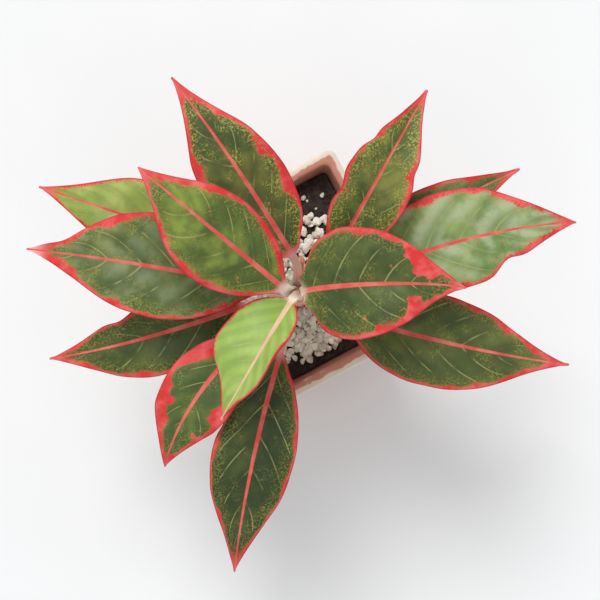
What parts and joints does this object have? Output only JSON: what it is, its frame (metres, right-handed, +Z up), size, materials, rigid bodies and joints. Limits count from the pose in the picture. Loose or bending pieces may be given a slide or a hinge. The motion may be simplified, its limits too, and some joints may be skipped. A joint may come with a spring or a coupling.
{
  "type": "potted chinese evergreen",
  "caption": "Leafy foliage plant with red-edged green leaves on one short stem, rooted in soil under white gravel in a square terracotta pot.",
  "frame": {"origin": "middle of the pot's flat underside", "axes": "+Z up; X and Y along the pot's sides, square to its walls"},
  "size_m": [0.315, 0.2742, 0.2349],
  "materials": {
    "terracotta": "unglazed fired clay, rim edge washed pale cream",
    "potting_mix": "moist crumbly earth",
    "gravel": "broken white stone",
    "stalk": "smooth waxy skin, pink to cream",
    "leaf": "satin leaf skin, dark green with coral-red rib and margin"
  },
  "bodies": {
    "root": {"pot": "terracotta", "soil": "potting_mix", "gravel_bed": "gravel", "pebble_01": "gravel", "pebble_02": "gravel", "pebble_03": "gravel", "pebble_04": "gravel", "pebble_05": "gravel", "pebble_06": "gravel", "pebble_07": "gravel", "pebble_08": "gravel", "pebble_09": "gravel", "pebble_10": "gravel", "pebble_11": "gravel", "pebble_12": "gravel", "pebble_13": "gravel", "pebble_14": "gravel", "pebble_15": "gravel", "pebble_16": "gravel", "pebble_17": "gravel", "pebble_18": "gravel", "stem": "stalk", "petiole_stub": "stalk", "leaf_01": "leaf", "leaf_02": "leaf", "leaf_03": "leaf", "leaf_04": "leaf", "leaf_05": "leaf", "leaf_06": "leaf", "leaf_07": "leaf", "leaf_08": "leaf", "leaf_09": "leaf", "leaf_10": "leaf", "leaf_11": "leaf", "leaf_12": "leaf", "leaf_13": "leaf"}
  },
  "joints": []
}
